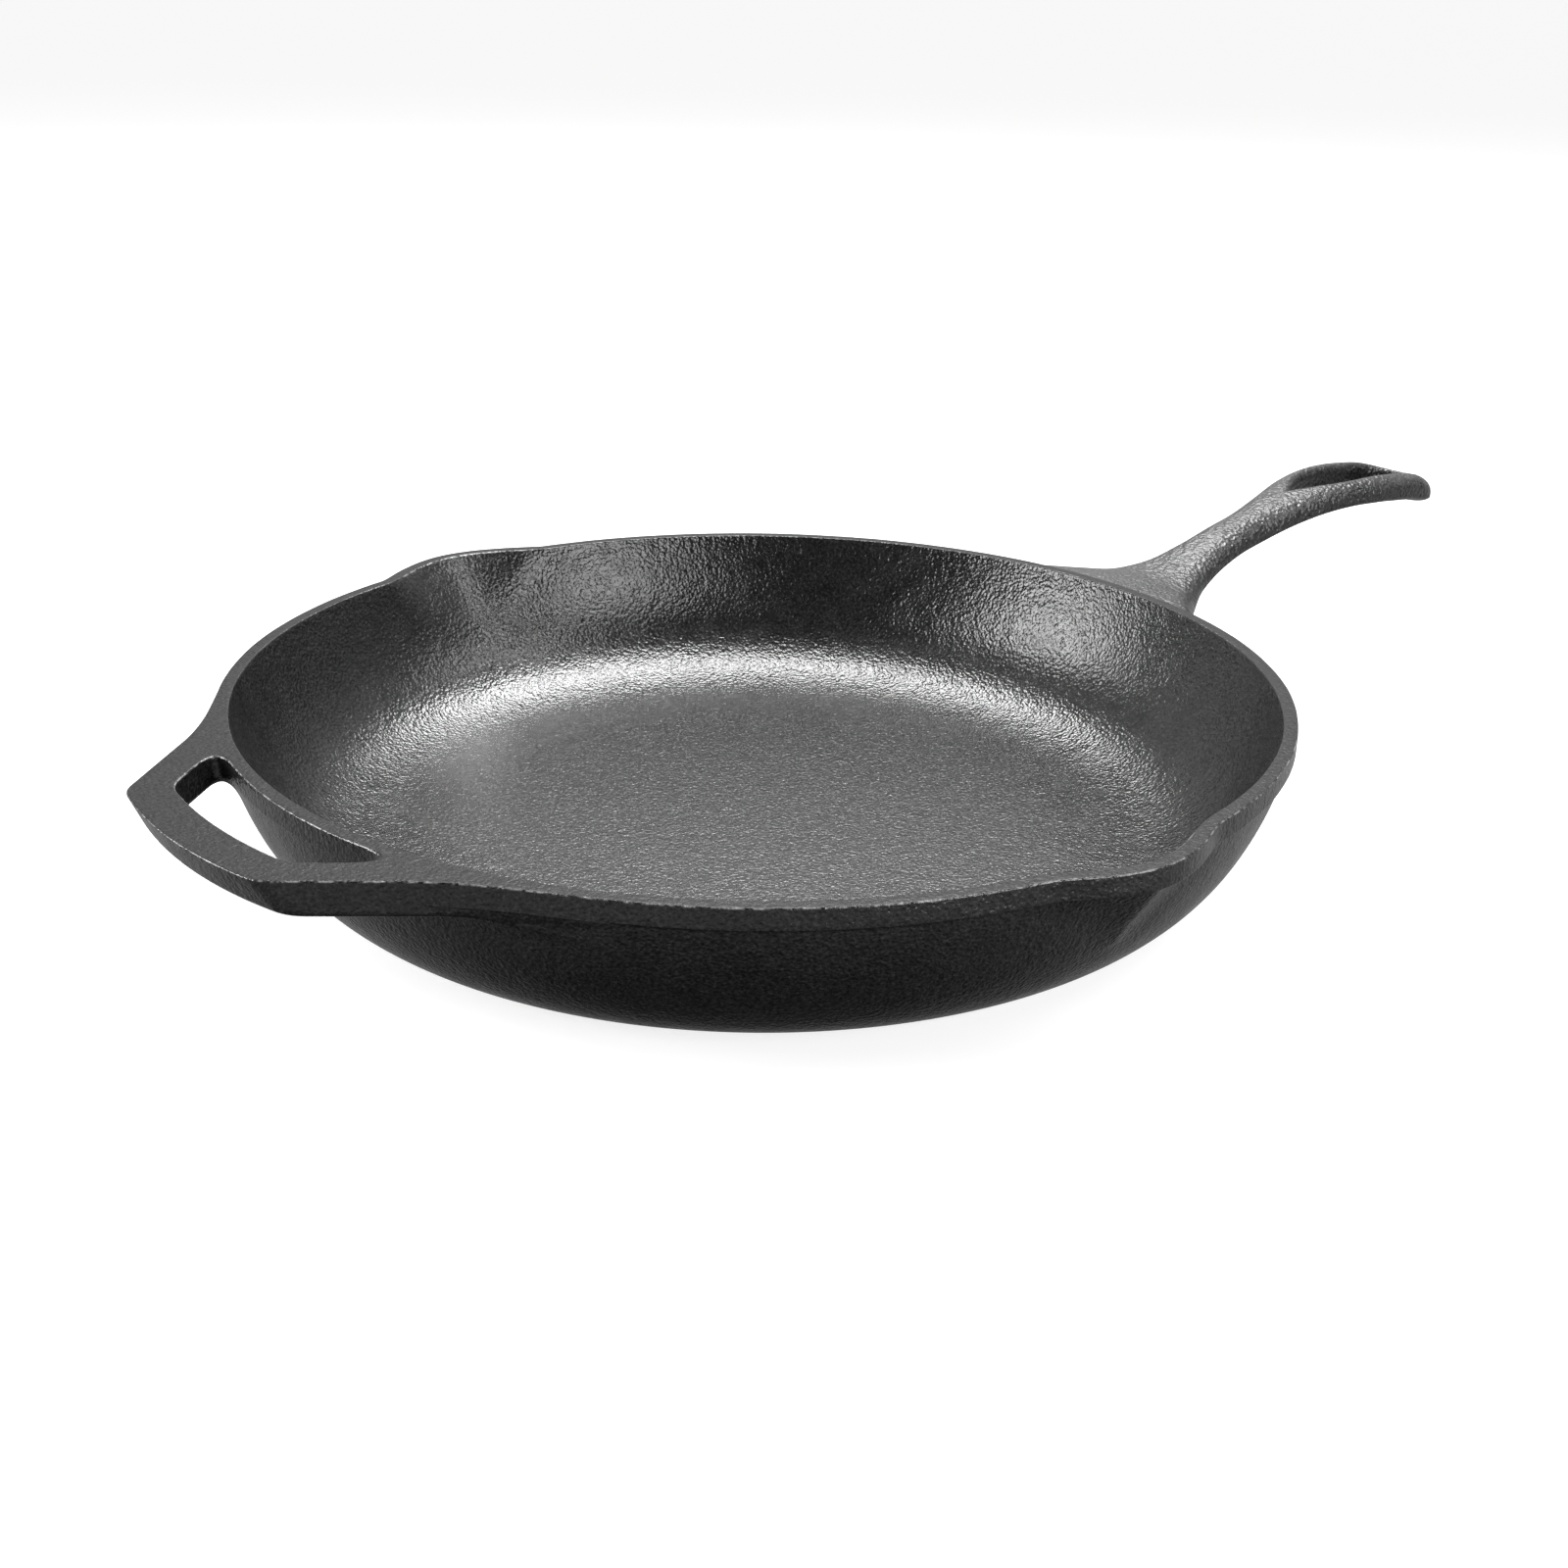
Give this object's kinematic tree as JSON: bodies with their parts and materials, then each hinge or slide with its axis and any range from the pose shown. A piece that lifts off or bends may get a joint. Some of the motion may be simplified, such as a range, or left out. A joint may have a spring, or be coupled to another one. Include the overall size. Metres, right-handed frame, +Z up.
{
  "type": "cast iron skillet",
  "caption": "Round cast iron frying pan with sloped sides, pour spouts, a long handle with a hanging hole and a short looped helper handle.",
  "frame": {"origin": "centre of the flat underside of the pan, on the surface it stands on", "axes": "+Z up, +X along the long handle, +Y to the left pour spout"},
  "size_m": [0.5183, 0.3205, 0.0659],
  "materials": {
    "cooking_surface": "satin, fine cast grain under seasoning",
    "seasoned_iron": "satin black seasoned, pebbled cast skin",
    "ground_rim": "ground flat, dull grey"
  },
  "bodies": {
    "root": {"pan_floor": "cooking_surface", "wall_heel": "seasoned_iron", "side_wall_front": "seasoned_iron", "side_wall_back": "seasoned_iron", "rim_band_front": "ground_rim", "rim_band_back": "ground_rim", "pour_spout_left": "seasoned_iron", "pour_spout_right": "seasoned_iron", "main_handle": "seasoned_iron", "helper_handle": "seasoned_iron"}
  },
  "joints": []
}
